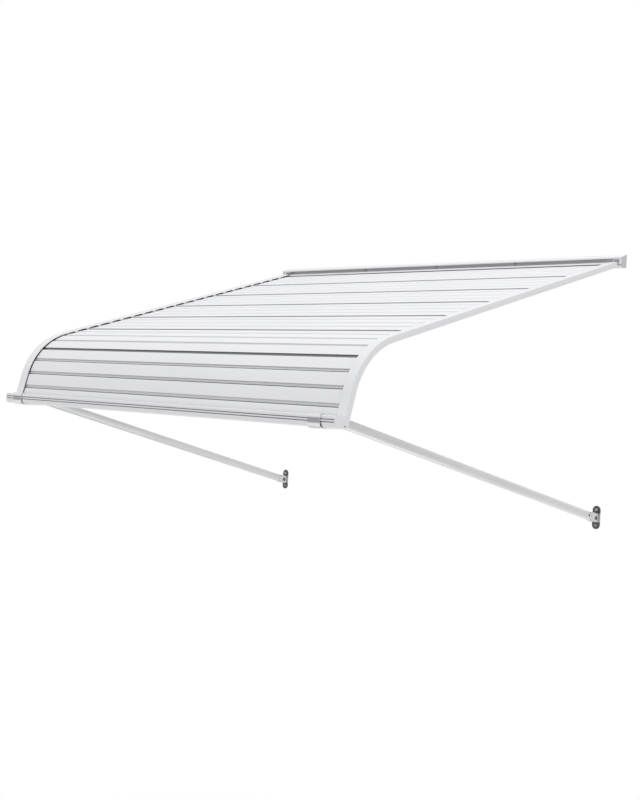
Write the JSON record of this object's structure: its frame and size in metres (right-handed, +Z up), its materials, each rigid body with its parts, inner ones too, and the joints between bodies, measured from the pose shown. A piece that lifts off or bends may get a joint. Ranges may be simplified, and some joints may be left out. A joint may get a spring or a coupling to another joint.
{
  "type": "door awning",
  "caption": "Door awning of interlocking slats in bent side rails, hinged to a wall rail and propped on tubular arms with wall brackets.",
  "frame": {"origin": "On the wall face of the header rail, midway along it", "axes": "X runs along the wall, Y points into the wall, Z is up; the awning reaches out along minus Y"},
  "size_m": [1.398, 1.1316, 0.784],
  "materials": {
    "white_paint": "semi-gloss baked enamel",
    "arm_paint": "satin silver grey enamel",
    "bare_metal": "bright zinc plate",
    "dark_metal": "dull zinc plate"
  },
  "bodies": {
    "header": {"header_rail": "white_paint", "header_cap_left": "white_paint", "header_cap_right": "white_paint", "header_screw_1": "bare_metal", "header_screw_2": "bare_metal", "header_screw_3": "bare_metal"},
    "canopy": {"hinge_rail": "white_paint", "slat_01": "white_paint", "slat_02": "white_paint", "slat_03": "white_paint", "slat_04": "white_paint", "slat_05": "white_paint", "slat_06": "white_paint", "slat_07": "white_paint", "slat_08": "white_paint", "slat_09": "white_paint", "slat_10": "white_paint", "slat_11": "white_paint", "slat_12": "white_paint", "slat_13": "white_paint", "slat_14": "white_paint", "slat_15": "white_paint", "slat_16": "white_paint", "slat_17": "white_paint", "slat_18": "white_paint", "slat_19": "white_paint", "slat_20": "white_paint", "slat_21": "white_paint", "slat_22": "white_paint", "slat_23": "white_paint", "slat_24": "white_paint", "slat_25": "white_paint", "slat_26": "white_paint", "slat_27": "white_paint", "slat_28": "white_paint", "side_rail_left": "white_paint", "side_rail_right": "white_paint", "rail_screw_left": "bare_metal", "rail_screw_right": "bare_metal", "front_bar": "white_paint", "bar_cap_left": "white_paint", "bar_cap_right": "white_paint", "arm_clip_left": "bare_metal", "arm_clip_right": "bare_metal", "clip_pin_left": "bare_metal", "clip_pin_right": "bare_metal"},
    "left_arm": {"arm_eye_left": "arm_paint", "arm_tube_left": "arm_paint", "arm_fork_left": "arm_paint", "bracket_pin_left": "bare_metal"},
    "right_arm": {"arm_eye_right": "arm_paint", "arm_tube_right": "arm_paint", "arm_fork_right": "arm_paint", "bracket_pin_right": "bare_metal"},
    "left_bracket": {"wall_bracket_left": "dark_metal", "bracket_screw_left_upper": "bare_metal", "bracket_screw_left_lower": "bare_metal"},
    "right_bracket": {"wall_bracket_right": "dark_metal", "bracket_screw_right_upper": "bare_metal", "bracket_screw_right_lower": "bare_metal"}
  },
  "joints": [
    {"name": "canopy_hinge", "type": "hinge", "parent": "header", "child": "canopy", "pos_m": [0, -0.0135, -0.0105], "axis": [-1, 0, 0], "range_deg": [0, 38]},
    {"name": "left_arm_pivot", "type": "hinge", "parent": "canopy", "child": "left_arm", "pos_m": [-0.62, -1.06435, -0.47991], "axis": [1, 0, 0], "range_deg": [0, 30]},
    {"name": "right_arm_pivot", "type": "hinge", "parent": "canopy", "child": "right_arm", "pos_m": [0.62, -1.06435, -0.47991], "axis": [1, 0, 0], "range_deg": [0, 30]},
    {"name": "left_bracket_pivot", "type": "hinge", "parent": "left_arm", "child": "left_bracket", "pos_m": [-0.6475, -0.018, -0.7305], "axis": [1, 0, 0], "range_deg": [0, 45]},
    {"name": "right_bracket_pivot", "type": "hinge", "parent": "right_arm", "child": "right_bracket", "pos_m": [0.6475, -0.018, -0.7305], "axis": [1, 0, 0], "range_deg": [0, 45]}
  ]
}
